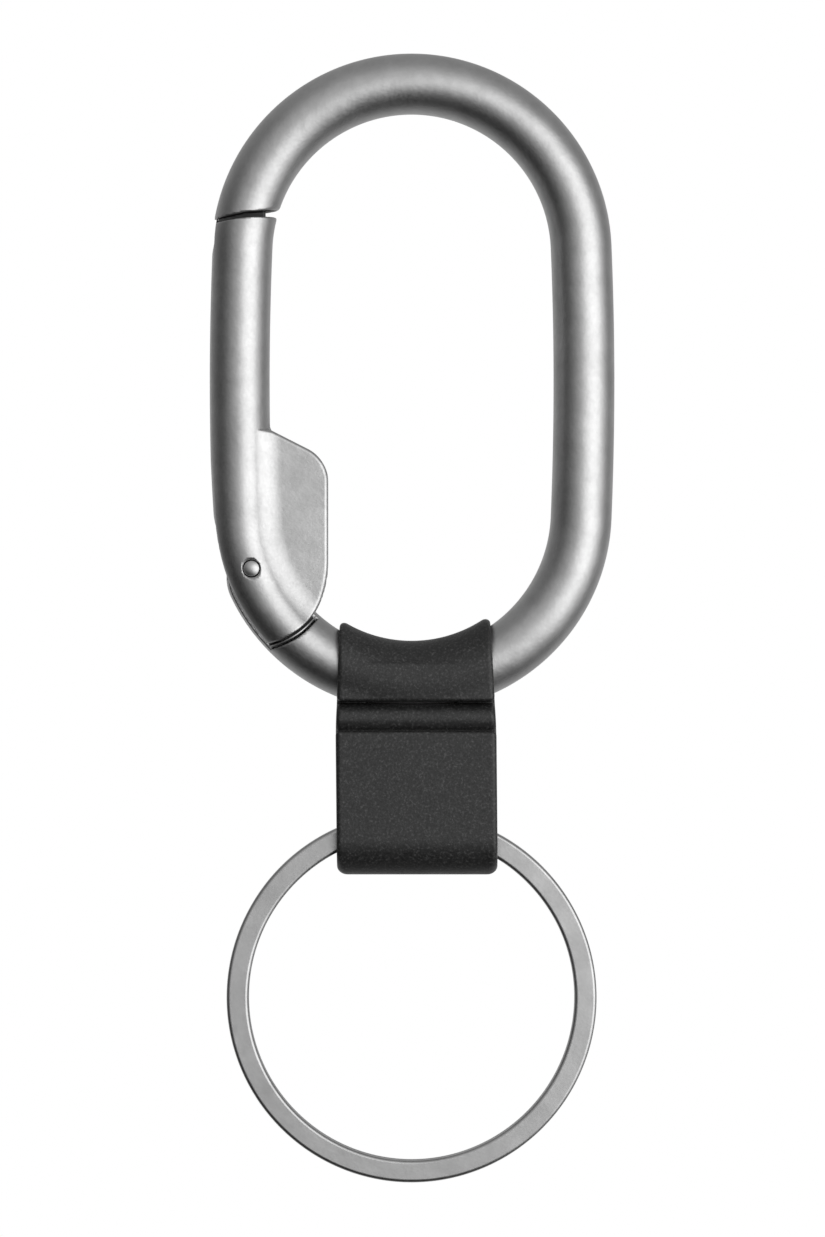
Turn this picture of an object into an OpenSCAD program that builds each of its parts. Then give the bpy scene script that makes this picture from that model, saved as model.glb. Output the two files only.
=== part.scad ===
// Key organiser: an oval spring-gate carabiner, a moulded strap on its lower bend, and a flat split ring.
//
// Every sub-part is drawn flat, with the oval in the XY plane and its thickness along Z, and upright() stands it
// up. In the finished frame X runs across the oval, Y through its thickness and Z up. The origin is the point that
// the object hangs from: the lowest point of the top bend's inner surface.

/* [Carabiner bar] */
// Diameter of the round bar
bar_d = 5.4; // [5.3:0.05:5.5]
// Radius of both end bends, at the bar's centre line
bend_r = 15.04; // [14.9:0.02:15.2]
// Distance between the centres of the two end bends
bend_gap = 22.8; // [22.5:0.05:23.5]
// How far each long side bows outwards past the bends
side_bow = 0.24; // [0.16:0.02:0.32]

/* [Gate] */
// Angle at which the gate stops when it is pushed in
gate_open = 28; // [20:1:28]
// Place of the gate pin round the lower bend, from the +X direction
pin_angle = 199.9; // [199:0.1:201]
// Radius of the gate's lower end about the pin
gate_end_r = 6.8; // [6.7:0.05:6.9]
// Gap between the gate's lower end and the body
gate_end_gap = 0.3; // [0.2:0.05:0.4]
// Height of the nose face at the bar's centre line, from the origin
nose_y = -8.78; // [-8.9:0.02:-8.6]
// Slant of the nose face
nose_slant = 11; // [9:0.2:12]
// Gap between the nose and the gate at the bar's centre line
nose_gap = 0.46; // [0.3:0.02:0.5]

/* [Thumb fin] */
// Thickness of the fin
fin_t = 3.2; // [3.1:0.05:3.4]
// Place of the fin's straight edge across the oval
fin_edge_x = -7.38; // [-7.6:0.02:-7.2]
// Radius of the fillet between the fin's faces and the bar
fin_fillet_r = 4; // [3.2:0.1:4.4]

/* [Hinge] */
// Diameter of the gate pin
pin_d = 1.4; // [1.3:0.05:1.45]
// Radial play of the pin in the gate's fork
pin_play = 0.08; // [0.04:0.01:0.1]
// Thickness of the body's hinge tongue
tongue_t = 2.2; // [2.1:0.05:2.25]
// Width of the fork's slot
fork_slot = 2.4; // [2.35:0.05:2.5]
// Lever arm of the spring plunger about the pin
cam_arm = 1.6; // [1.5:0.05:1.65]

/* [Strap] */
// Wall of the strap over the bar
strap_wall = 0.88; // [0.8:0.02:1]
// Width of the strap at its loop
loop_w = 13.8; // [13.4:0.1:14]
// Width of the strap at its eye
eye_w = 14.2; // [14:0.1:14.4]
// Distance of the strap's middle from the oval's middle, away from the gate
strap_x = 0.45; // [0:0.05:0.5]
// Thickness of the strap's panel
panel_t = 6.4; // [6.2:0.1:6.6]
// Thickness of the strap's neck in the cross groove
neck_t = 4.4; // [4.2:0.1:4.6]
// Radius of the hole that the ring lies in
eye_r = 2.25; // [2.24:0.01:2.3]

/* [Split ring] */
// Outer diameter of the ring
ring_od = 32.76; // [32.6:0.02:32.8]
// Radial width of the flat wire
ring_w = 1.95; // [1.9:0.01:1.96]
// Thickness of the two turns together
ring_t = 2; // [1.9:0.02:2]

/* [Hidden] */
$fn = 96;

// The bar's oval has two end bends and two long side arcs that meet them tangentially. side_d is the distance
// between the centres of a bend and a side arc, and side_a is the angle of the line through them.
bar_r = bar_d / 2;
top_y = bar_r - bend_r;
low_y = top_y - bend_gap;
half_gap = bend_gap / 2;
mid_y = top_y - half_gap;
side_d = round(50 * (half_gap * half_gap + side_bow * side_bow) / side_bow) / 100;
side_a = asin(half_gap / side_d);
side_fn = 1440;
overrun = 1;

pin = [bend_r * cos(pin_angle), low_y + bend_r * sin(pin_angle)];
pin_r = pin_d / 2;
fork_r = pin_r + pin_play;
pin_flat = 2.45;
pin_dome = 0.2;
sink = 0.2;

// The spring plunger slides along a line that leans outwards, at cam_arm from the pin.
lean = 10;
cam_h = 1.9;
cam_gap = 0.02;
cam_start = 0.9;
plunger_r = 1.1;
plunger_head = 2.8;
stem_r = 0.55;
stem_l = 3.8;
bore_r = 1.15;
bore_start = 1.6;
bore_end = 12.66;
spring_wire = 0.45;
spring_r = 0.85;
spring_turns = 13;
spring_rise = 0.48;
spring_low = cam_h + cam_gap + plunger_head + 0.02;
spring_high = bore_end - 0.02;

// The nose's tenon and the gate slot that it enters.
tenon_t = 1.6;
tenon_w = 4.7;
tenon_x = -13.3;
tenon_low = -11.1;
slot_t = 1.9;
slot_x = -13.1;
slot_low = -12.2;
slot_corner = 0.8;
gate_slant_out = 9;
gate_slant_in = 2.4;
nose_x = -14.66;
reach = 9;

// The fork's slot about the pin: a round root, open towards the gate's end and its outer side.
fork_root = 3.4;
fork_in_a = 18;
fork_end_a = -4;
fork_out = 4.6;
tongue_neck = 0.9;
tongue_hub = 1.8;

// The fin's outline.
fin_top_y = -28.06;
fin_corner_r = 3.3;
fin_corner_y = -32.6;
fin_slope = 25;
fin_tail_y = -39.5;
fin_tail_r = 10.4;
fin_tail_a = 35;

// The strap: loop on the bar, neck, panel, and the fold under the ring.
loop_play = 0.08;
loop_r = bar_r + strap_wall;
loop_x = strap_x - loop_w / 2;
eye_x = strap_x - eye_w / 2;
skirt_low = -51.93;
skirt_high = -48.2;
skirt_t = 7;
neck_y = -54.2;
neck_play = 0.1;
panel_top = -54.6;
strap_low = -67.36;
eye_y = -63.8;

// The split ring: two flat turns joined by a crossover inside the strap.
ring_r = ring_od / 2;
ring_y = -94.6 + ring_r;
turn_gap = 0.06;
cross_a = 8;
slit_a = 3;

// Points along an arc of radius r about c, from angle a to angle b.
function arc(c, r, a, b, n = 16) = [for (i = [0:n]) let (t = a + (b - a) * i / n) c + r * [cos(t), sin(t)]];

// A point of the cam, an involute of a circle of radius cam_arm, as the gate turns by t radians.
function cam_point(t) =
    let (u = cam_h + cam_arm * t, d = t * 180 / PI)
    [cam_arm * cos(d) + u * sin(d), u * cos(d) - cam_arm * sin(d)];

// A ring of a spring's wire section at n turns from its start, as points.
function spring_y(n) =
    let (ends = min(n, 1) + max(n - spring_turns + 1, 0), mid = n - ends,
         free = spring_high - spring_low - spring_wire - 2 * spring_rise)
    spring_low + spring_wire / 2 + ends * spring_rise + mid * free / (spring_turns - 2);
function spring_ring(n, sides) =
    [for (k = [0:sides - 1])
        let (a = 360 * k / sides, r = spring_r + spring_wire / 2 * cos(a))
        [r * cos(360 * n), r * sin(360 * n), spring_y(n) + spring_wire / 2 * sin(a)]];

module upright() rotate([90, 0, 0]) children();
module plate(t) linear_extrude(t, center = true) children();

// Sweeps a section along one quarter of the oval, chosen by its signs; the section's +X points out of the oval.
module along_quarter(sign_x, sign_y)
    translate([0, mid_y, 0]) mirror([sign_x < 0 ? 1 : 0, 0, 0]) mirror([0, sign_y < 0 ? 1 : 0, 0])
    intersection() {
        translate([0, half_gap, 0]) rotate(side_a) {
            rotate_extrude(angle = 90) translate([bend_r, 0]) children();
            translate([-side_d, 0, 0])
                rotate_extrude(angle = side_a + overrun, start = -side_a - overrun, $fn = side_fn)
                translate([side_d + bend_r, 0]) children();
        }
        translate([0, 0, -reach]) cube([4 * reach, 4 * reach, 2 * reach]);
    }

// Sweeps a section round the lower bend.
module round_low_bend()
    translate([0, low_y, 0]) rotate_extrude(angle = 180, start = 180) translate([bend_r, 0]) children();

// A half plane, above or below a line through a point.
module above(p, a) translate(p) rotate(a) translate([-2 * reach, 0]) square([4 * reach, 4 * reach]);

// The gate's region in plan: everything left of the oval between the nose and a circle about the pin.
module gate_region(end_r)
    union() {
        translate(pin) circle(end_r);
        translate([pin[0] - reach, pin[1]]) square([2 * reach, nose_y - pin[1] + 3]);
    }

// Places its children at the pin, turned so that Y lies along the plunger's line.
module at_pin() translate([pin[0], pin[1], 0]) rotate(lean) children();

// Turns a shape that is round about Z to lie along the plunger's line.
module on_plunger_line() at_pin() translate([cam_arm, 0, 0]) rotate([-90, 0, 0]) children();

module cam_outline()
    let (n = 18, t_end = (gate_open + 2) * PI / 180)
    polygon(concat([[0, 0]], [for (i = [0:n]) cam_point(-cam_start + (t_end + cam_start) * i / n)]));

// The hinge tongue: the bar's own outline, narrowed to a plate, with a hub and a cam round the pin.
module tongue()
    difference() {
        union() {
            intersection() {
                along_quarter(-1, -1) circle(bar_r);
                plate(tongue_t)
                    intersection() {
                        translate(pin) circle(gate_end_r + 2);
                        translate(pin) rotate(pin_angle - 180) translate([-reach, -2 * reach - tongue_neck])
                            square(2 * reach);
                    }
            }
            translate([pin[0], pin[1], 0]) cylinder(tongue_t, r = tongue_hub, center = true);
            at_pin() plate(tongue_t) cam_outline();
        }
        translate([pin[0], pin[1], 0]) cylinder(2 * bar_d, r = pin_r, center = true);
    }

module tenon()
    intersection() {
        along_quarter(-1, 1) square([tenon_w, tenon_t], center = true);
        translate([tenon_x - reach, tenon_low, -bar_r]) cube([reach, reach / 2, bar_d]);
    }

module carabiner_body()
    color("silver") upright()
    union() {
        for (y = [-1, 1]) along_quarter(1, y) circle(bar_r);
        tongue();
        tenon();
        difference() {
            for (y = [-1, 1]) along_quarter(-1, y) circle(bar_r);
            plate(2 * bar_d)
                difference() {
                    gate_region(gate_end_r + gate_end_gap);
                    above([nose_x, nose_y], nose_slant);
                }
        }
    }

module fin_outline()
    let (corner = [fin_edge_x - fin_corner_r, fin_corner_y], tail = [fin_edge_x - fin_tail_r, fin_tail_y])
    polygon(concat(
        [[-bend_r, fin_top_y + 0.4], [-bend_r + bar_r, fin_top_y]],
        arc(corner, fin_corner_r, 90 - fin_slope, 0),
        arc(tail, fin_tail_r, 0, -fin_tail_a),
        [[-bend_r, pin[1] - reach]]));

// Section of the bar with the fin's plate and its fillets; +X points out of the oval.
module fin_section()
    let (d = bar_r + fin_fillet_r, h = fin_t / 2 + fin_fillet_r, s = sqrt(d * d - h * h), top = bar_r * h / d)
    union() {
        circle(bar_r);
        translate([-reach, -fin_t / 2]) square([reach, fin_t]);
        for (side = [0, 1]) mirror([0, side])
            difference() {
                translate([-s, 0]) square([s, top]);
                translate([-s, h]) circle(fin_fillet_r);
            }
    }

// The fork's slot in plan.
module fork_outline()
    translate(pin) {
        circle(fork_root);
        polygon([
            [0, fork_root], [-fork_root, fork_out], [-reach, fork_out], [-reach, -reach], [reach, -reach],
            reach * [cos(fork_end_a), sin(fork_end_a)], fork_root * [cos(fork_in_a), sin(fork_in_a)]]);
    }

// The slot for the nose's tenon in plan, open at the gate's top and outer side.
module slot_outline()
    difference() {
        translate([slot_x - reach, slot_low]) square([reach, reach]);
        translate([slot_x - slot_corner, slot_low]) difference() {
            square(slot_corner);
            translate([0, slot_corner]) circle(slot_corner);
        }
    }

module gate()
    color("silver") upright()
    difference() {
        union() {
            intersection() {
                for (y = [-1, 1]) along_quarter(-1, y) circle(bar_r);
                plate(2 * bar_d) gate_region(gate_end_r);
            }
            intersection() {
                along_quarter(-1, -1) fin_section();
                plate(2 * bar_d) intersection() {
                    gate_region(gate_end_r);
                    fin_outline();
                }
            }
        }
        plate(2 * bar_d)
            for (slant = [gate_slant_out, gate_slant_in]) above([nose_x, nose_y - nose_gap], slant);
        plate(slot_t) slot_outline();
        plate(fork_slot) fork_outline();
        translate([pin[0], pin[1], 0]) {
            cylinder(2 * bar_d, r = fork_r, center = true);
            for (side = [0, 1]) mirror([0, 0, side])
                translate([0, 0, bar_r - sink]) cylinder(2 * sink, r1 = fork_r, r2 = fork_r + 2 * sink);
        }
        on_plunger_line() translate([0, 0, bore_start]) cylinder(bore_end - bore_start, r = bore_r);
    }

module gate_pin()
    color("gainsboro") upright() translate([pin[0], pin[1], 0])
    rotate_extrude()
    let (r = (pin_r * pin_r + pin_dome * pin_dome) / (2 * pin_dome), a = asin(pin_r / r))
    polygon(concat(
        arc([0, -(pin_flat + pin_dome - r)], r, -90, -90 + a, 8),
        arc([0, pin_flat + pin_dome - r], r, 90 - a, 90, 8)));

module spring_plunger()
    color("gray") upright() on_plunger_line() translate([0, 0, cam_h + cam_gap]) {
        cylinder(plunger_head, r = plunger_r);
        cylinder(plunger_head + stem_l, r = stem_r);
    }

module gate_spring()
    let (sides = 6, steps = 14, n = spring_turns * steps)
    color("dimgray") upright() on_plunger_line()
    polyhedron(
        [for (i = [0:n]) each spring_ring(i / steps, sides)],
        concat(
            [[for (k = [0:sides - 1]) k]],
            [for (i = [0:n - 1], k = [0:sides - 1])
                let (a = i * sides, b = a + sides, m = (k + 1) % sides)
                each [[a + k, b + k, b + m], [a + k, b + m, a + m]]],
            [[for (k = [sides - 1:-1:0]) n * sides + k]]));

module strap_loop()
    color("#2b2b2d") upright()
    difference() {
        intersection() {
            union() {
                round_low_bend() circle(loop_r);
                translate([loop_x, skirt_low, -skirt_t / 2]) cube([loop_w, skirt_high - skirt_low, skirt_t]);
                translate([loop_x, neck_y, -neck_t / 2]) cube([loop_w, skirt_high - neck_y, neck_t]);
                translate([loop_x, neck_y, 0]) rotate([0, 90, 0]) cylinder(loop_w, r = neck_t / 2);
            }
            translate([loop_x, strap_low, -reach]) cube([loop_w, low_y - strap_low, 2 * reach]);
        }
        round_low_bend() circle(bar_r + loop_play);
    }

module strap_eye()
    color("#2b2b2d") upright()
    difference() {
        let (fold_y = strap_low + panel_t / 2)
        union() {
            translate([eye_x, fold_y, -panel_t / 2]) cube([eye_w, panel_top - fold_y, panel_t]);
            translate([eye_x, fold_y, 0]) rotate([0, 90, 0]) cylinder(eye_w, r = panel_t / 2);
        }
        translate([-eye_w, neck_y, 0]) rotate([0, 90, 0]) cylinder(2 * eye_w, r = neck_t / 2 + neck_play);
        translate([-eye_w, eye_y, 0]) rotate([0, 90, 0]) cylinder(2 * eye_w, r = eye_r);
    }

// One turn of the flat wire, from the middle of the crossover right round to the slit on its other side.
module ring_turn()
    rotate_extrude(angle = 360 - cross_a / 2 - slit_a, start = 90)
    translate([ring_r - ring_w, turn_gap / 2]) square([ring_w, (ring_t - turn_gap) / 2]);

module split_ring()
    color("silver") upright() translate([0, ring_y, 0])
    union() {
        ring_turn();
        mirror([1, 0, 0]) mirror([0, 0, 1]) ring_turn();
        rotate_extrude(angle = cross_a, start = 90 - cross_a / 2)
            translate([ring_r - ring_w, -ring_t / 2]) square([ring_w, ring_t]);
    }

carabiner_body();
gate();
gate_pin();
gate_spring();
spring_plunger();
strap_loop();
strap_eye();
split_ring();
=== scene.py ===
import math

import bpy
import numpy as np
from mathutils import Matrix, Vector


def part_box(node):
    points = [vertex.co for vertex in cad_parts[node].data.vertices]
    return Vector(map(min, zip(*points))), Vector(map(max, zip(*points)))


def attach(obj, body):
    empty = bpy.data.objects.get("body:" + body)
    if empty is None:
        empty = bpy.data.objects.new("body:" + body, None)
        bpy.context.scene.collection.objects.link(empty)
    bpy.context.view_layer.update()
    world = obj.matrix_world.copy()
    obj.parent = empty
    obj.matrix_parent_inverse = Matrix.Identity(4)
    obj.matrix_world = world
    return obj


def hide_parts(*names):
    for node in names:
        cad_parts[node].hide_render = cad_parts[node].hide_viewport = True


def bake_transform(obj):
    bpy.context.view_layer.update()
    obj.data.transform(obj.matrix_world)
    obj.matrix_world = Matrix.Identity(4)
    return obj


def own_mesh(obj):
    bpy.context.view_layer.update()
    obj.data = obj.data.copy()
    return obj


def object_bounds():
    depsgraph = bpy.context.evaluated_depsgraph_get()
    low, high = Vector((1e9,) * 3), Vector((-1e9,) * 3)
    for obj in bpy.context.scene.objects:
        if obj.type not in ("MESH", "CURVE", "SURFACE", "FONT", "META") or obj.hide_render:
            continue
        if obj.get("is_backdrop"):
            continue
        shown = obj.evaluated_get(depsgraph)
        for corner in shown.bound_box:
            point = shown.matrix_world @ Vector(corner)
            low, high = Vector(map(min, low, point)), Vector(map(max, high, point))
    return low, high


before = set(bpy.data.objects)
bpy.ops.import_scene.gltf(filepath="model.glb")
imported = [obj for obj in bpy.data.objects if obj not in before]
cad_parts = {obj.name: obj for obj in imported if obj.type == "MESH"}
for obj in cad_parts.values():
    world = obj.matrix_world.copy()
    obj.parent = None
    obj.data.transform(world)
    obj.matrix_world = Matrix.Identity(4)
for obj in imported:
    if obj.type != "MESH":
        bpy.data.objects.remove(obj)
size = {"frame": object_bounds()}

# Shapes are worked out in millimetres in the record's frame, as signed distances: x across the oval, y through
# its thickness with the front at -y, and z up. A piece's mesh is the surface where its distance is zero.
MM = 0.001
STEP = 0.17


def cad(node):
    """Lowest corner, highest corner and middle of a CAD node, in millimetres."""
    low, high = (np.array(corner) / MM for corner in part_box(node))
    return low, high, (low + high) / 2


# ---------------------------------------------------------------- dimensions

BODY_LOW, BODY_HIGH, _ = cad("carabiner_body")
_, _, PIN = cad("gate_pin")
LOOP_LOW, LOOP_HIGH, _ = cad("strap_loop")
EYE_LOW, EYE_HIGH, EYE_MID = cad("strap_eye")
RING_LOW, RING_HIGH, RING_MID = cad("split_ring")

BAR_R = BODY_HIGH[2] / 2
BEND_R = 15.04
TOP_Z = BAR_R - BEND_R
LOW_Z = BODY_LOW[2] + BAR_R + BEND_R
MID_Z = (TOP_Z + LOW_Z) / 2
HALF_GAP = (TOP_Z - LOW_Z) / 2
SIDE_BOW = 0.24
SIDE_D = (HALF_GAP**2 + SIDE_BOW**2) / (2 * SIDE_BOW)
SIDE_C = math.sqrt(SIDE_D**2 - HALF_GAP**2)
SIDE_A = math.asin(HALF_GAP / SIDE_D)

# The gate's lower end is a circle about the pin; its upper end lies under the slanted nose of the body.
GATE_END_R = 6.8
NOSE_X, NOSE_Z, NOSE_SLANTS = -14.66, -8.78, (11.5, 5.0)
GATE_TOP_Z, GATE_SLANTS = -9.24, (9.0, 2.4)
SEAM_EDGE, NOSE_EDGE, NOSE_EDGE_REACH, END_EDGE = 0.1, 0.26, 2.2, 0.14
# A thin lip stands in the lower seam, and the gate's outer side is relieved beside the tongue.
LIP_R, LIP_T, LIP_EDGE, LIP_DROP, LIP_DEPTH = 7.06, 0.13, 0.05, 0.05, 0.5
RELIEF, RELIEF_EDGE, RELIEF_TOP, RELIEF_FULL = 0.28, 0.3, -30.6, -38.4
TENON_T, TENON_W, TENON_X, TENON_LOW, TENON_TOP = 1.6, 4.96, -12.95, -11.1, -6.6
TENON_EDGE, TENON_CORNER = 0.12, 0.3
SLOT_T, SLOT_X, SLOT_LOW, SLOT_CORNER, SLOT_EDGE = 1.9, -12.75, -12.2, 0.8, 0.2

# The thumb fin: a plate on the gate's inner side, with fillets to the bar.
FIN_T = 3.2
FIN_EDGE_X = -7.38
FIN_FILLET = 4.0
FIN_TOP_Z, FIN_TOP_RISE, FIN_SLOPE = -28.06, 0.55, 25
FIN_CORNER_R, FIN_CORNER_Z = 3.3, -32.6
FIN_TAIL_R, FIN_TAIL_Z, FIN_TAIL_A = 10.4, -39.5, 35
FIN_EDGE = 0.32

# The hinge: the pin, the gate's fork and the body's tongue between its cheeks.
PIN_R, PIN_PLAY, PIN_FLAT, PIN_DOME = 0.7, 0.08, 2.45, 0.2
SINK, SINK_EDGE = 0.2, 0.03
FORK_SLOT, FORK_ROOT, FORK_OUT, FORK_IN_A, FORK_END_A = 2.4, 3.4, 4.6, 18, -4
FORK_CORNER, FORK_EDGE = 0.1, 0.12
TONGUE_T, TONGUE_REACH, TONGUE_NECK, TONGUE_HUB = 2.2, 8.8, 3.3, 1.8
TONGUE_TIP_R, TONGUE_EDGE = 5.0, 0.08
REACH = 9
# Steel deeper inside the bar than this gets painted shade: a near-black steel in the seams and slots, where
# shade falls.
RECESS_DEPTH = 0.22

# The spring plunger's line leans outwards and passes the pin at the lever arm's length.
LEAN = math.radians(10)
CAM_ARM, CAM_H, CAM_TURNS = 1.6, 1.9, (-0.9, math.radians(30))
LINE_START = np.array([PIN[0] + CAM_ARM * math.cos(LEAN), 0, PIN[2] + CAM_ARM * math.sin(LEAN)])
LINE = np.array([-math.sin(LEAN), 0, math.cos(LEAN)])
BORE_R, BORE_START, BORE_END = 1.15, 1.6, 12.66
SPRING_R, SPRING_WIRE, SPRING_TURNS = 0.85, 0.45, 13
# The height of the spring's ends along that line, and how far each closed end turn climbs.
SPRING_LOW, SPRING_HIGH, SPRING_RISE = 4.74, 12.64, 0.48

# The strap: a loop round the bar, a rolled neck, and a panel folded round the ring.
STRAP_X = EYE_MID[0]
LOOP_R = BAR_R + 0.84
EYE_HALF = (EYE_HIGH[0] - EYE_LOW[0]) / 2
PANEL_HALF = EYE_HIGH[1]
PANEL_TOP = EYE_HIGH[2]
FOLD_Z = EYE_LOW[2] + PANEL_HALF
EYE_Z, EYE_R = -63.8, 2.25
SKIRT_LOW, SKIRT_TOP, SKIRT_HALF, SKIRT_EDGE, SKIRT_FILLET = -51.93, -48.6, 3.3, 0.22, 0.3
NECK_HALF, NECK_TOP, NECK_SINK, NECK_FILLET = 1.6, -50, 1, 0.15
ROLL_Z, ROLL_Y, ROLL_R, ROLL_FILLET = -53.45, 1.5, 1.3, 0.1
PANEL_EDGE, EYE_EDGE = 0.3, 0.3
STRAP_EDGE, STRAP_CORNER = 0.4, 0.9
# Half of the strap's width at the skirt and at the loop's top, its sideways lean, and its room round the bar.
SKIRT_WIDE, LOOP_WIDE = 6.98, 6.62
STRAP_LEAN = 0.009
BAR_CLEAR, BAR_HOLE_EDGE = 0.06, 0.2

# The split ring: its outer radius, its wire, and the degrees that its crossover and the slits beside it take.
RING_R = (RING_HIGH[0] - RING_LOW[0]) / 2
RING_W, RING_GAP = 1.95, 0.06
RING_EDGE = 0.32
RING_CROSS, RING_SLIT = 8, 3


# ---------------------------------------------------------------- distances


def met(a, b, r=0.0):
    """Where both solids are, with their shared edge rounded to radius r."""
    return np.minimum(-r, np.maximum(a, b)) + np.hypot(np.maximum(a + r, 0), np.maximum(b + r, 0))


def joined(a, b, r=0.0):
    """Where either solid is, with a fillet of radius r between them."""
    return -met(-a, -b, r)


def bar_side(x, z):
    """Distance from the bar's centre line in plan, positive outside the oval."""
    u, v = np.abs(x), np.abs(z - MID_Z)
    side = np.hypot(u + SIDE_C, v) - SIDE_D - BEND_R
    bend = np.hypot(u, v - HALF_GAP) - BEND_R
    return np.where(np.arctan2(v, u + SIDE_C) < SIDE_A, side, bend)


def bar(x, y, z):
    """The whole oval of round bar."""
    return np.hypot(bar_side(x, z), y) - BAR_R


def line_above(x, z, px, pz, slant):
    """Distance above the line through (px, pz) that slants by so many degrees."""
    a = math.radians(slant)
    return (z - pz) * math.cos(a) - (x - px) * math.sin(a)


def polygon(x, z, points):
    """Signed distance to a closed outline in plan."""
    points = np.array(points, float)
    nearest = np.full(np.shape(x), np.inf)
    inside = np.zeros(np.shape(x), bool)
    for (ax, az), (bx, bz) in zip(points, np.roll(points, -1, axis=0)):
        ex, ez = bx - ax, bz - az
        t = np.clip(((x - ax) * ex + (z - az) * ez) / (ex * ex + ez * ez), 0, 1)
        nearest = np.minimum(nearest, np.hypot(x - ax - t * ex, z - az - t * ez))
        if az != bz:
            inside ^= ((az > z) != (bz > z)) & (x < ax + ex * (z - az) / ez)
    return np.where(inside, -nearest, nearest)


def arc(cx, cz, r, a, b, n=16):
    """Points along an arc from angle a to angle b, in degrees."""
    turn = np.radians(np.linspace(a, b, n + 1))
    return [(cx + r * math.cos(t), cz + r * math.sin(t)) for t in turn]


def gate_end(x, z, r):
    """Distance outside the gate's end: a circle of radius r about the pin, open upwards."""
    return np.hypot(x - PIN[0], np.minimum(z - PIN[2], 0)) - r


def seam_edge(x):
    """Edge radius along the nose seam, larger towards the inside of the oval."""
    t = np.clip((x - NOSE_X) / NOSE_EDGE_REACH, 0, 1)
    return SEAM_EDGE + (NOSE_EDGE - SEAM_EDGE) * t * t


FIN_OUTLINE = (
    [(-BEND_R, FIN_TOP_Z + FIN_TOP_RISE), (-BEND_R + BAR_R, FIN_TOP_Z)]
    + arc(FIN_EDGE_X - FIN_CORNER_R, FIN_CORNER_Z, FIN_CORNER_R, 90 - FIN_SLOPE, 0)
    + arc(FIN_EDGE_X - FIN_TAIL_R, FIN_TAIL_Z, FIN_TAIL_R, 0, -FIN_TAIL_A)
    + [(-BEND_R, PIN[2] - REACH)]
)


# The web that rounds the corner between the bar's inner side and the fin's sloping top, within its thickness.
WEB_R, WEB_X, WEB_Z, WEB_HALF, WEB_EDGE = 0.85, -11.72, -27.5, 0.8, 0.3
WEB_BACK_X, WEB_FRONT_X, WEB_FOOT_Z, WEB_ARC_END = -13.6, -11.9, -29, 245
WEB_OUTLINE = [
    (WEB_BACK_X, WEB_Z),
    *arc(WEB_X, WEB_Z, WEB_R, 180, WEB_ARC_END, 8),
    (WEB_FRONT_X, WEB_FOOT_Z),
    (WEB_BACK_X, WEB_FOOT_Z),
]


def fin_section(inward, y):
    """The bar with the fin's plate and the fillets between them, across the bar."""
    d, h = BAR_R + FIN_FILLET, FIN_T / 2 + FIN_FILLET
    reach = math.sqrt(d * d - h * h)
    t = np.abs(y)
    fillet = FIN_FILLET - np.hypot(inward - reach, t - h)
    on_bar = inward * h < t * reach
    return np.where(
        inward > reach, t - FIN_T / 2, np.where(on_bar, np.hypot(inward, t) - BAR_R, fillet)
    )


def tenon_slot(x, y, z):
    """The slot in the gate's top for the tenon, with a round bottom."""
    round_end = np.hypot(y, np.minimum(z - SLOT_LOW - SLOT_T / 2, 0)) - SLOT_T / 2
    return met(x - SLOT_X, round_end, SLOT_CORNER / 2)


FORK_OUTLINE = [
    (0, FORK_ROOT),
    (-FORK_ROOT, FORK_OUT),
    (-REACH, FORK_OUT),
    (-REACH, -REACH),
    (REACH, -REACH),
    (REACH * math.cos(math.radians(FORK_END_A)), REACH * math.sin(math.radians(FORK_END_A))),
    (FORK_ROOT * math.cos(math.radians(FORK_IN_A)), FORK_ROOT * math.sin(math.radians(FORK_IN_A))),
]


def fork_slot(x, y, z):
    """The slot between the gate's fork cheeks, open to the gate's end and its outer side."""
    u, v = x - PIN[0], z - PIN[2]
    plan = np.minimum(np.hypot(u, v) - FORK_ROOT, polygon(u, v, FORK_OUTLINE))
    return met(plan, np.abs(y) - FORK_SLOT / 2, np.where(v > FORK_ROOT / 2, FORK_SLOT / 2, FORK_CORNER))


def pin_hole(x, y, z):
    """The hole for the pin, countersunk at both ends."""
    around = np.hypot(x - PIN[0], z - PIN[2]) - PIN_R - PIN_PLAY
    return np.minimum(around, (around - (np.abs(y) - BAR_R + SINK)) / math.sqrt(2))


def plunger_bore(x, y, z):
    """The blind hole in the gate for the spring and its plunger."""
    u, v = x - LINE_START[0], z - LINE_START[2]
    along = u * LINE[0] + v * LINE[2]
    around = np.hypot(u * LINE[2] - v * LINE[0], y) - BORE_R
    return np.maximum(around, np.maximum(BORE_START - along, along - BORE_END))


def gate(x, y, z):
    """The gate's bar with its fin, its fork and its slots."""
    side = bar_side(x, z)
    fin = met(fin_section(-side, y), polygon(x, z, FIN_OUTLINE), FIN_EDGE)
    web = met(polygon(x, z, WEB_OUTLINE), np.abs(y) - WEB_HALF, WEB_EDGE)
    shape = np.minimum(np.minimum(np.hypot(side, y) - BAR_R, fin), web)
    relief = RELIEF * np.clip((RELIEF_TOP - z) / (RELIEF_TOP - RELIEF_FULL), 0, 1)
    shape = met(shape, side - BAR_R + relief, RELIEF_EDGE)
    shape = met(shape, gate_end(x, z, GATE_END_R), END_EDGE)
    for slant in GATE_SLANTS:
        shape = met(shape, line_above(x, z, NOSE_X, GATE_TOP_Z, slant), seam_edge(x))
    shape = met(shape, -tenon_slot(x, y, z), SLOT_EDGE)
    shape = met(shape, -fork_slot(x, y, z), FORK_EDGE)
    shape = met(shape, -plunger_bore(x, y, z))
    return met(shape, -pin_hole(x, y, z), SINK_EDGE)


def cam_outline():
    """The cam on the tongue in plan: the involute that moves the plunger evenly as the gate turns."""

    def point(turn):
        u = CAM_H + CAM_ARM * turn
        return (
            CAM_ARM * math.cos(turn) + u * math.sin(turn),
            u * math.cos(turn) - CAM_ARM * math.sin(turn),
        )

    return [(0, 0)] + [point(t) for t in np.linspace(*CAM_TURNS, 19)]


CAM_OUTLINE = cam_outline()


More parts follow.
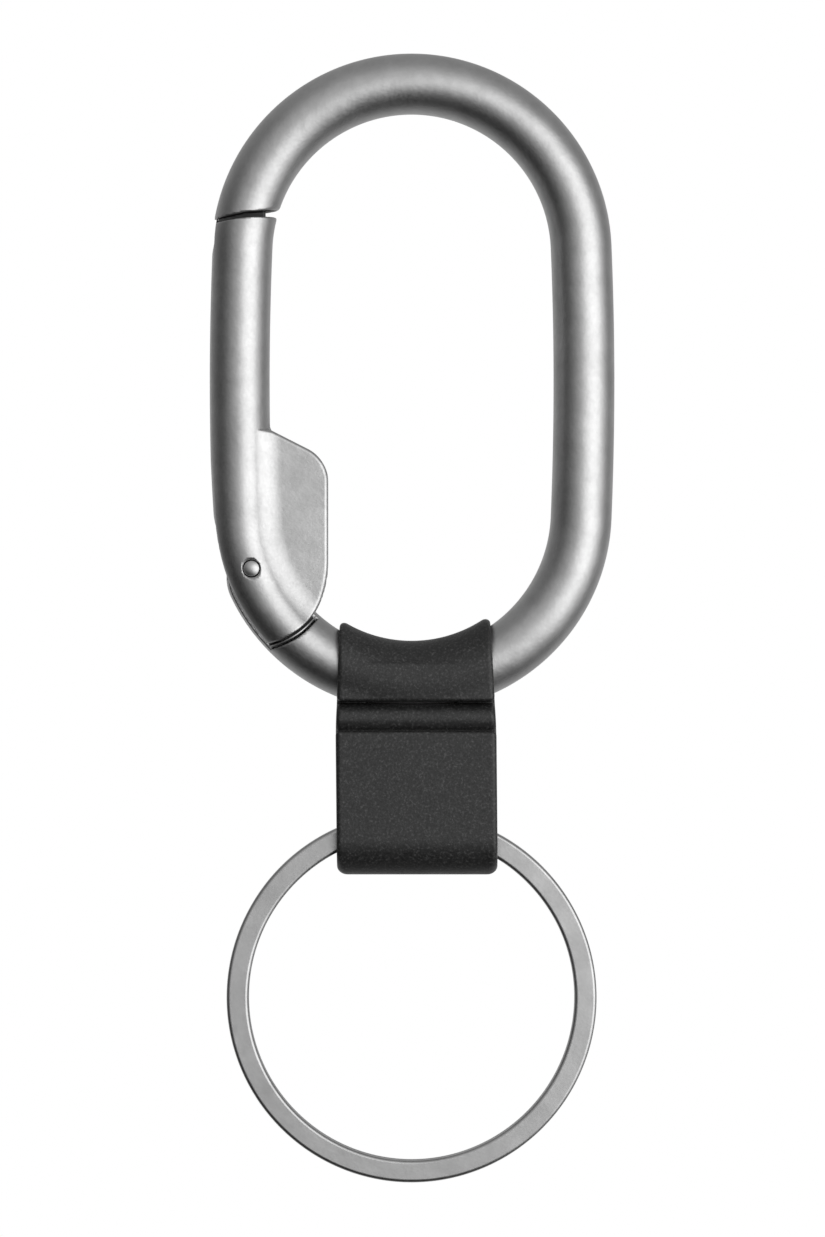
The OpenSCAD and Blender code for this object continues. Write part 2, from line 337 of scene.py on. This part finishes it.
def tongue(x, y, z):
    """The body's hinge tongue: a flat blade of the bar, with a hub and a cam about the pin."""
    u, v = x - PIN[0], z - PIN[2]
    around = np.hypot(u, v)
    a = math.atan2(LOW_Z - PIN[2], -PIN[0])
    neck = v * math.cos(a) - u * math.sin(a) - TONGUE_NECK
    blade = met(met(bar(x, y, z), neck, TONGUE_TIP_R), around - TONGUE_REACH)
    across, along = u * LINE[2] - v * LINE[0], v * LINE[2] + u * LINE[0]
    hub = np.minimum(around - TONGUE_HUB, polygon(across, along, CAM_OUTLINE))
    plate = met(np.minimum(blade, hub), np.abs(y) - TONGUE_T / 2, TONGUE_EDGE)
    return np.maximum(plate, PIN_R - around)


def tenon(x, y, z):
    """The flat tenon that stands out of the nose."""
    square = met(np.abs(bar_side(x, z)) - TENON_W / 2, np.abs(y) - TENON_T / 2, TENON_EDGE)
    ends = met(TENON_LOW - z, x - TENON_X, TENON_CORNER)
    return np.maximum(met(square, ends, TENON_EDGE), z - TENON_TOP)


def body(x, y, z):
    """The carabiner's bar with its nose, tenon and tongue."""
    below_nose = np.maximum(*(line_above(x, z, NOSE_X, NOSE_Z, slant) for slant in NOSE_SLANTS))
    opening = np.maximum(gate_end(x, z, 2 * LIP_R - GATE_END_R), below_nose)
    edge = np.where(z > MID_Z, seam_edge(x), END_EDGE)
    shape = met(bar(x, y, z), np.where(x < 0, -opening, -REACH), edge)
    return np.minimum(np.minimum(shape, tongue(x, y, z)), tenon(x, y, z))


def strap(x, y, z):
    """The strap at rest, as one moulding."""
    side = np.hypot(x, z - LOW_Z) - BEND_R
    t = np.abs(y)
    around = np.hypot(side, y)
    loop = met(around - LOOP_R, SKIRT_LOW - z, SKIRT_EDGE)
    skirt = met(t - SKIRT_HALF, np.maximum(SKIRT_LOW - z, z - SKIRT_TOP), SKIRT_EDGE)
    roll = np.hypot(t - ROLL_Y, z - ROLL_Z) - ROLL_R
    stem = np.maximum(t - NECK_HALF, np.maximum(z - NECK_TOP, PANEL_TOP - NECK_SINK - z))
    neck = joined(stem, roll, ROLL_FILLET)
    panel = met(np.hypot(t, np.minimum(z - FOLD_Z, 0)) - PANEL_HALF, z - PANEL_TOP, PANEL_EDGE)
    shape = np.minimum(joined(joined(loop, skirt, SKIRT_FILLET), neck, NECK_FILLET), panel)
    half = np.interp(
        z,
        [FOLD_Z, PANEL_TOP, SKIRT_LOW, LOOP_HIGH[2]],
        [EYE_HALF, EYE_HALF, SKIRT_WIDE, LOOP_WIDE],
    )
    edge = np.interp(
        z,
        [EYE_LOW[2], FOLD_Z - 1, LOOP_HIGH[2] - 2, LOOP_HIGH[2] - 0.5],
        [STRAP_CORNER, STRAP_EDGE, STRAP_EDGE, STRAP_CORNER],
    )
    middle = STRAP_X + STRAP_LEAN * (EYE_MID[2] - z)
    shape = met(shape, np.abs(x - middle) - half, edge)
    shape = met(shape, BAR_R + BAR_CLEAR - around, BAR_HOLE_EDGE)
    return met(shape, EYE_R - np.hypot(y, z - EYE_Z), EYE_EDGE)


# ---------------------------------------------------------------- meshes


def slope(distance, points, eps=0.01):
    """Gradient of a distance at the points."""
    out = np.empty_like(points)
    for i in range(3):
        shift = np.zeros(3)
        shift[i] = eps
        out[:, i] = (distance(*(points + shift).T) - distance(*(points - shift).T)) / (2 * eps)
    return out


def surface(distance, low, high, step):
    """Vertices and quads of the surface where distance is zero, with a vertex in each grid cell it crosses."""
    axes = [np.arange(a - 2 * step, b + 3 * step, step) for a, b in zip(low, high)]
    value = distance(*np.meshgrid(*axes, indexing="ij"))
    inside = value < 0
    cells = np.array(value.shape)
    total, count, quads = np.zeros((3, cells.prod())), np.zeros(cells.prod()), []
    for axis in range(3):
        first = [slice(None)] * 3
        second = [slice(None)] * 3
        first[axis], second[axis] = slice(None, -1), slice(1, None)
        crossed = inside[tuple(first)] != inside[tuple(second)]
        at = np.argwhere(crossed)
        a, b = value[tuple(first)][crossed], value[tuple(second)][crossed]
        place = at.astype(float)
        place[:, axis] += a / (a - b)
        one, two = np.eye(3, dtype=int)[(axis + 1) % 3], np.eye(3, dtype=int)[(axis + 2) % 3]
        around = [np.ravel_multi_index((at - s).T, cells) for s in (one + two, two, 0 * one, one)]
        for cell in around:
            count += np.bincount(cell, minlength=count.size)
            for i in range(3):
                total[i] += np.bincount(cell, place[:, i], minlength=count.size)
        quad = np.stack(around, axis=1)
        quads.append(np.where((a < 0)[:, None], quad, quad[:, ::-1]))
    used = count > 0
    number = np.cumsum(used) - 1
    points = (total[:, used] / count[used]).T * step + np.array([a[0] for a in axes])
    return points, number[np.concatenate(quads)]


def settle(distance, points, step):
    """Moves points onto the surface along its slope."""
    for _ in range(4):
        g = slope(distance, points)
        d = distance(*points.T)
        move = d / np.maximum((g * g).sum(1), 0.25)
        points = points - np.clip(move, -step / 2, step / 2)[:, None] * g
    return points


def relax(points, quads):
    """Evens out the quads by moving each vertex halfway to the mean of its neighbours."""
    total, count = np.zeros_like(points), np.zeros(len(points))
    for k in range(4):
        here, there = quads[:, k], quads[:, (k + 1) % 4]
        for i in range(3):
            total[:, i] += np.bincount(here, points[there, i], minlength=len(points))
            total[:, i] += np.bincount(there, points[here, i], minlength=len(points))
        count += np.bincount(here, minlength=len(points)) + np.bincount(there, minlength=len(points))
    return 0.5 * points + 0.5 * total / count[:, None]


def mesh(name, points, faces, normals):
    """A smooth-shaded object from points in millimetres."""
    data = bpy.data.meshes.new(name)
    data.from_pydata((np.asarray(points) * MM).tolist(), [], [list(map(int, face)) for face in faces])
    data.update()
    data.shade_smooth()
    length = np.linalg.norm(normals, axis=1, keepdims=True)
    data.normals_split_custom_set_from_vertices((normals / np.maximum(length, 1e-9)).tolist())
    obj = bpy.data.objects.new(name, data)
    bpy.context.scene.collection.objects.link(obj)
    return obj


def shell(distance, low, high, step=STEP):
    """Points, quads and normals of a solid's surface."""
    points, quads = surface(distance, low, high, step)
    points = settle(distance, relax(settle(distance, points, step), quads), step)
    return points, quads, slope(distance, points)


def swept(centres, outwards, ups, profile, profile_normals, closed=False):
    """Points, faces and normals of a profile of (out, up) points carried along the centres."""
    n, m = len(centres), len(profile)
    out, up = outwards[:, None, :], ups[:, None, :]
    points = centres[:, None, :] + profile[None, :, :1] * out + profile[None, :, 1:] * up
    normals = profile_normals[None, :, :1] * out + profile_normals[None, :, 1:] * up
    points, normals = points.reshape(-1, 3), normals.reshape(-1, 3)
    faces = []
    for i in range(n if closed else n - 1):
        a, b = i * m, (i + 1) % n * m
        faces += [[a + k, b + k, b + (k + 1) % m, a + (k + 1) % m] for k in range(m)]
    if closed:
        return points, faces, normals
    # Each flat end has its own ring of points, a little inside the tube's end, so its rim is a small edge.
    for end, way in ((0, -1), (n - 1, 1)):
        ring, first = points[end * m : end * m + m], len(points)
        forward = centres[min(end + 1, n - 1)] - centres[max(end - 1, 0)]
        face_normal = way * forward / np.linalg.norm(forward)
        cap = centres[end] + 0.9 * (ring - centres[end]) + 0.02 * face_normal
        points = np.concatenate([points, cap])
        normals = np.concatenate([normals, np.tile(face_normal, (m, 1))])
        rim = [[end * m + k, first + k, first + (k + 1) % m, end * m + (k + 1) % m] for k in range(m)]
        face = list(range(first, first + m))
        faces += [quad[::way] for quad in rim] + [face[::-way]]
    return points, faces, normals


def rounded_rectangle(w, h, r, n=5):
    """Points and outward normals round a rectangle with rounded corners."""
    points, normals = [], []
    for cx, cy, a in ((1, 1, 0), (-1, 1, 90), (-1, -1, 180), (1, -1, 270)):
        for t in np.radians(np.linspace(a, a + 90, n)):
            normal = np.array([math.cos(t), math.sin(t)])
            points.append(np.array([cx * (w / 2 - r), cy * (h / 2 - r)]) + r * normal)
            normals.append(normal)
    return np.array(points), np.array(normals)


# ---------------------------------------------------------------- materials


def blank(name):
    """A new material with one shader and nothing else."""
    material = bpy.data.materials.new(name)
    material.use_nodes = True
    tree = material.node_tree
    tree.nodes.clear()
    out = tree.nodes.new("ShaderNodeOutputMaterial")
    shader = tree.nodes.new("ShaderNodeBsdfPrincipled")
    tree.links.new(shader.outputs["BSDF"], out.inputs["Surface"])
    return material, tree, shader


def noise(tree, scale, detail=2.0, roughness=0.5):
    """Noise over the object's own coordinates, with scale in cycles per millimetre."""
    place = tree.nodes.new("ShaderNodeTexCoord")
    node = tree.nodes.new("ShaderNodeTexNoise")
    node.inputs["Scale"].default_value = scale / MM
    node.inputs["Detail"].default_value = detail
    node.inputs["Roughness"].default_value = roughness
    tree.links.new(place.outputs["Object"], node.inputs["Vector"])
    return node.outputs["Fac"]


def ramp(tree, value, stops):
    """A grey from a value, by stops of (position, grey)."""
    node = tree.nodes.new("ShaderNodeValToRGB")
    elements = node.color_ramp.elements
    while len(elements) < len(stops):
        elements.new(0.5)
    for element, (position, grey) in zip(elements, stops):
        element.position = position
        element.color = (grey, grey, grey, 1)
    tree.links.new(value, node.inputs["Fac"])
    return node.outputs["Color"]


def bump(tree, shader, heights):
    """Bumps from (height output, depth in millimetres), coarse first."""
    normal = None
    for value, depth in heights:
        node = tree.nodes.new("ShaderNodeBump")
        node.inputs["Strength"].default_value = 1
        node.inputs["Distance"].default_value = depth * MM
        tree.links.new(value, node.inputs["Height"])
        if normal is not None:
            tree.links.new(normal, node.inputs["Normal"])
        normal = node.outputs["Normal"]
    tree.links.new(normal, shader.inputs["Normal"])


def steel(name, low, high, rough_low, rough_high, grain, depth):
    """Bead-blasted steel: ranges of tone and roughness, grains per millimetre, and depth in millimetres."""
    material, tree, shader = blank(name)
    shader.inputs["Metallic"].default_value = 1.0
    tone = ramp(tree, noise(tree, 0.35, 6, 0.72), [(0.3, low), (0.7, high)])
    tree.links.new(tone, shader.inputs["Base Color"])
    gloss = ramp(tree, noise(tree, grain, 3, 0.6), [(0.25, rough_low), (0.75, rough_high)])
    tree.links.new(gloss, shader.inputs["Roughness"])
    bump(tree, shader, [(noise(tree, grain / 4, 2), depth), (noise(tree, grain, 2, 0.6), depth / 3)])
    return material


def moulded(name):
    """Black moulded elastomer with a fine spark-eroded texture and pale specks."""
    material, tree, shader = blank(name)
    speck = ramp(tree, noise(tree, 4.6, 3, 0.75), [(0.35, 0.01), (0.55, 0.026), (0.74, 0.1)])
    tree.links.new(speck, shader.inputs["Base Color"])
    gloss = ramp(tree, noise(tree, 0.5, 3), [(0.3, 0.42), (0.7, 0.5)])
    tree.links.new(gloss, shader.inputs["Roughness"])
    shader.inputs["IOR"].default_value = 1.5
    bump(tree, shader, [(noise(tree, 3.4, 3, 0.65), 0.016)])
    return material


BAR_STEEL = steel("blasted_steel", 0.5, 0.63, 0.37, 0.47, 4.0, 0.017)
# Near-black steel that stands in for the shade inside seams and slots: painted shade, not the steel's own
# colour.
RECESS_SHADE_STEEL = steel("painted_shade_recess_steel", 0.07, 0.12, 0.45, 0.55, 4.0, 0.004)
PIN_STEEL = steel("pin_steel", 0.5, 0.58, 0.36, 0.44, 5.0, 0.002)
SPRING_STEEL = steel("spring_steel", 0.4, 0.5, 0.3, 0.4, 5.0, 0.003)
RING_STEEL = steel("ring_steel", 0.44, 0.56, 0.3, 0.4, 4.0, 0.008)
ELASTOMER = moulded("black_elastomer")


# ---------------------------------------------------------------- pieces


def paint_recess_shade(obj):
    """Gives the faces that lie inside the bar, in its seams and slots, a near-black steel that paints the
    shade falling there.
    """
    obj.data.materials.append(RECESS_SHADE_STEEL)
    faces = obj.data.polygons
    centres = np.empty(3 * len(faces))
    faces.foreach_get("center", centres)
    deep = bar(*(centres.reshape(-1, 3) / MM).T) < -RECESS_DEPTH
    faces.foreach_set("material_index", deep.astype(np.int32))


def finish_piece(obj, material):
    """Gives a piece its material."""
    obj.data.materials.clear()
    obj.data.materials.append(material)


def body_with_lip():
    """The body's bar, with the thin lip that stands between it and the gate's lower end."""
    turn = 2 * math.pi * np.arange(96) / 96
    out = BEND_R + (BAR_R - LIP_DROP) * np.cos(turn)
    pin_a = math.atan2(PIN[2] - LOW_Z, PIN[0])
    a = pin_a + np.arccos((out**2 + BEND_R**2 - LIP_R**2) / (2 * out * BEND_R))
    across = (BAR_R - LIP_DROP) * np.sin(turn)
    centres = np.stack([out * np.cos(a), across, LOW_Z + out * np.sin(a)], axis=1)
    outwards = np.stack([np.cos(turn) * np.cos(a), np.sin(turn), np.cos(turn) * np.sin(a)], axis=1)
    ups = (centres - PIN) * [1, 0, 1] / LIP_R
    profile, normals = rounded_rectangle(LIP_DEPTH, LIP_T, LIP_EDGE)
    profile[:, 0] -= LIP_DEPTH / 2
    lip = swept(centres, outwards, ups, profile, normals, closed=True)
    points, quads, slopes = shell(body, BODY_LOW, BODY_HIGH)
    slopes /= np.linalg.norm(slopes, axis=1, keepdims=True)
    faces = np.concatenate([quads, np.array(lip[1]) + len(points)])
    return np.concatenate([points, lip[0]]), faces, np.concatenate([slopes, lip[2]])


body_bar = mesh("body_bar", *body_with_lip())
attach(body_bar, "body")
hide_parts("carabiner_body")
finish_piece(body_bar, BAR_STEEL)
paint_recess_shade(body_bar)

GATE_LOW, GATE_HIGH, _ = cad("gate")
gate_bar = mesh("gate_bar", *shell(gate, GATE_LOW, GATE_HIGH, STEP * 0.88))
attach(gate_bar, "gate")
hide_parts("gate")
finish_piece(gate_bar, BAR_STEEL)
paint_recess_shade(gate_bar)

STRAP_MARGIN = 0.2
STRAP_LOW = np.minimum(LOOP_LOW, EYE_LOW) - STRAP_MARGIN
STRAP_HIGH = np.maximum(LOOP_HIGH, EYE_HIGH) + STRAP_MARGIN
strap_band = mesh("strap_band", *shell(strap, STRAP_LOW, STRAP_HIGH))
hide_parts("strap_loop", "strap_eye")
finish_piece(strap_band, ELASTOMER)
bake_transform(strap_band)


def make_pin():
    """The hinge pin: a turned rod with a low dome and a broken edge at each end."""
    dome_r = (PIN_R**2 + PIN_DOME**2) / (2 * PIN_DOME)
    tip = PIN_FLAT + PIN_DOME - dome_r
    # Each row: its radius, its height from the middle, and the two parts of its normal.
    half = [
        (dome_r * math.sin(t), tip + dome_r * math.cos(t), math.sin(t), math.cos(t))
        for t in np.linspace(0.02, math.asin(PIN_R / dome_r) * 0.95, 10)
    ]
    edge = 0.01
    half += [(PIN_R - edge, PIN_FLAT - edge, 0.8, 0.6)]
    half += [(PIN_R, PIN_FLAT - 5 * edge, 1, 0), (PIN_R, edge, 1, 0)]
    rows = half + [(r, -h, nr, -nh) for r, h, nr, nh in reversed(half)]
    sides = 48
    turn = 2 * math.pi * np.arange(sides) / sides
    points, normals, faces = [], [], []
    for r, h, nr, nh in rows:
        for a in turn:
            points.append((PIN[0] + r * math.cos(a), -h, PIN[2] + r * math.sin(a)))
            normals.append((nr * math.cos(a), -nh, nr * math.sin(a)))
    for i in range(len(rows) - 1):
        a, b = i * sides, (i + 1) * sides
        faces += [[a + k, b + k, b + (k + 1) % sides, a + (k + 1) % sides] for k in range(sides)]
    faces += [list(range(sides)), list(range(len(points) - 1, len(points) - sides - 1, -1))]
    return mesh("hinge_pin", points, faces, np.array(normals))


hinge_pin = make_pin()
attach(hinge_pin, "body")
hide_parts("gate_pin")
finish_piece(hinge_pin, PIN_STEEL)


def make_ring():
    """One flat wire: the front turn, a crossover inside the strap, and the back turn."""
    end = 720 - 2 * RING_CROSS - 2 * RING_SLIT
    turn = np.linspace(0, end, 2 * (360))
    middle = end / 2
    t = np.clip((turn - middle + RING_CROSS) / (2 * RING_CROSS), 0, 1)
    thick = (RING_HIGH[1] - RING_LOW[1] - RING_GAP) / 2
    depth = (thick + RING_GAP) / 2
    y = -depth + 2 * depth * t * t * (3 - 2 * t)
    a = np.radians(90 + turn - middle)
    out = np.stack([np.cos(a), 0 * a, np.sin(a)], axis=1)
    centres = out * (RING_R - RING_W / 2)
    centres[:, 1] = y
    centres[:, 2] += RING_MID[2]
    ups = np.tile([0.0, -1.0, 0.0], (len(a), 1))
    profile, normals = rounded_rectangle(RING_W, thick, RING_EDGE)
    return mesh("ring_wire", *swept(centres, out, ups, profile, normals))


ring_wire = make_ring()
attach(ring_wire, "ring")
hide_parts("split_ring")
finish_piece(ring_wire, RING_STEEL)


def make_spring():
    """The gate spring: a wound coil with closed end turns, on the plunger's line."""
    n = np.linspace(0, SPRING_TURNS, SPRING_TURNS * 24 + 1)
    ends = np.minimum(n, 1) + np.maximum(n - SPRING_TURNS + 1, 0)
    free = SPRING_HIGH - SPRING_LOW - SPRING_WIRE - 2 * SPRING_RISE
    h = SPRING_LOW + SPRING_WIRE / 2 + ends * SPRING_RISE + (n - ends) * free / (SPRING_TURNS - 2)
    across = np.array([LINE[2], 0, -LINE[0]])
    a = 2 * math.pi * n
    out = np.cos(a)[:, None] * across + np.sin(a)[:, None] * np.array([0.0, 1.0, 0.0])
    centres = LINE_START + h[:, None] * LINE + SPRING_R * out
    ups = np.tile(LINE, (len(n), 1))
    t = np.radians(np.arange(0, 360, 36))
    profile = np.stack([np.cos(t), np.sin(t)], axis=1)
    return mesh("spring_coil", *swept(centres, out, ups, profile * SPRING_WIRE / 2, profile))


spring_coil = make_spring()
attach(spring_coil, "gate")
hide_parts("gate_spring")
finish_piece(spring_coil, SPRING_STEEL)
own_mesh(spring_coil)

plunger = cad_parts["spring_plunger"]
plunger.data.materials.clear()
plunger.data.materials.append(PIN_STEEL)


# ---------------------------------------------------------------- floor, light and camera


def aim(obj, place, target):
    """Puts a light or a camera at a place, facing the target."""
    obj.location = Vector(place)
    obj.rotation_mode = "QUATERNION"
    obj.rotation_quaternion = (Vector(target) - Vector(place)).to_track_quat("-Z", "Y")


MIDDLE = (size["frame"][0] + size["frame"][1]) / 2


def towards(azimuth, elevation):
    """Unit vector from the object, with azimuth 0 at the front and 90 at the right."""
    a, e = math.radians(azimuth), math.radians(elevation)
    return Vector((math.sin(a) * math.cos(e), -math.cos(a) * math.cos(e), math.sin(e)))


def softbox(name, azimuth, elevation, distance, width, radiance):
    """A round area light that faces the object's middle."""
    data = bpy.data.lights.new(name, "AREA")
    data.shape = "DISK"
    data.size = width
    data.energy = radiance * math.pi * math.pi / 4 * width * width
    obj = bpy.data.objects.new(name, data)
    bpy.context.scene.collection.objects.link(obj)
    aim(obj, MIDDLE + towards(azimuth, elevation) * distance, MIDDLE)
    obj.visible_camera = False


def studio_world(panels):
    """A dark studio with large soft light panels around it, seen as plain white by the camera."""
    world = bpy.data.worlds.new("studio")
    bpy.context.scene.world = world
    world.use_nodes = True
    tree = world.node_tree
    tree.nodes.clear()
    out = tree.nodes.new("ShaderNodeOutputWorld")
    place = tree.nodes.new("ShaderNodeTexCoord")
    total = None
    for azimuth, elevation, inner, outer, strength in panels.values():
        dot = tree.nodes.new("ShaderNodeVectorMath")
        dot.operation = "DOT_PRODUCT"
        dot.inputs[1].default_value = towards(azimuth, elevation)
        tree.links.new(place.outputs["Generated"], dot.inputs[0])
        level = tree.nodes.new("ShaderNodeMapRange")
        level.interpolation_type = "SMOOTHSTEP"
        level.inputs["From Min"].default_value = math.cos(math.radians(outer))
        level.inputs["From Max"].default_value = math.cos(math.radians(inner))
        level.inputs["To Max"].default_value = strength
        tree.links.new(dot.outputs["Value"], level.inputs["Value"])
        add = tree.nodes.new("ShaderNodeMath")
        add.inputs[1].default_value = 0
        tree.links.new(level.outputs["Result"], add.inputs[0])
        if total is not None:
            tree.links.new(total, add.inputs[1])
        total = add.outputs["Value"]
    studio = tree.nodes.new("ShaderNodeBackground")
    tree.links.new(total, studio.inputs["Strength"])
    white = tree.nodes.new("ShaderNodeBackground")
    seen = tree.nodes.new("ShaderNodeLightPath")
    mix = tree.nodes.new("ShaderNodeMixShader")
    for node in (studio, white):
        node.inputs["Color"].default_value = (1, 1, 1, 1)
    white.inputs["Strength"].default_value = 1
    tree.links.new(seen.outputs["Is Camera Ray"], mix.inputs["Fac"])
    tree.links.new(studio.outputs["Background"], mix.inputs[1])
    tree.links.new(white.outputs["Background"], mix.inputs[2])
    tree.links.new(mix.outputs["Shader"], out.inputs["Surface"])


# Each panel: azimuth, elevation, where it is full and where it has faded (degrees from its middle), radiance.
studio_world(
    {
        "side_key": (55, -8, 10, 45, 1.0),
        "top_front": (0, 25, 0, 50, 0.4),
        "top_wide": (0, 30, 0, 80, 0.25),
        "back_low": (180, -30, 0, 80, 0.3),
        "back_high": (180, 30, 10, 120, 0.35),
    }
)
softbox("key", 33, 4, 0.6, 0.72, 1.13)

# A pale round floor well below the hanging object, out of the main view.
FLOOR_Z, FLOOR_R = -0.142, 0.16
bpy.ops.mesh.primitive_circle_add(
    vertices=96, radius=FLOOR_R, fill_type="NGON", location=(MIDDLE[0], MIDDLE[1], FLOOR_Z)
)
floor = bpy.context.object
floor.name = "floor"
pale, tree, shader = blank("pale_floor")
shade = ramp(tree, noise(tree, 0.05, 2), [(0.2, 0.86), (0.8, 0.9)])
tree.links.new(shade, shader.inputs["Base Color"])
shader.inputs["Roughness"].default_value = 0.9
shader.inputs["Emission Color"].default_value = (1, 1, 1, 1)
shader.inputs["Emission Strength"].default_value = 0.35
floor.data.materials.append(pale)
floor.visible_glossy = False
floor.visible_diffuse = False
floor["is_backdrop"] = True

# A long lens at the distance where the picture is FRAME_HEIGHT metres tall in the object's own plane.
FRAME_HEIGHT = 0.10966
LENS, SENSOR = 180, 36
camera = bpy.data.objects.new("camera", bpy.data.cameras.new("camera"))
bpy.context.scene.collection.objects.link(camera)
camera.data.sensor_width = SENSOR
camera.data.lens = LENS
target = Vector((0.00008, 0, -0.04467))
aim(camera, target + Vector((0, -FRAME_HEIGHT / SENSOR * LENS, 0)), target)
camera.data.clip_start, camera.data.clip_end = 0.05, 10
bpy.context.scene.camera = camera
bpy.context.scene.view_settings.view_transform = "Standard"

size["scene"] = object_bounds()
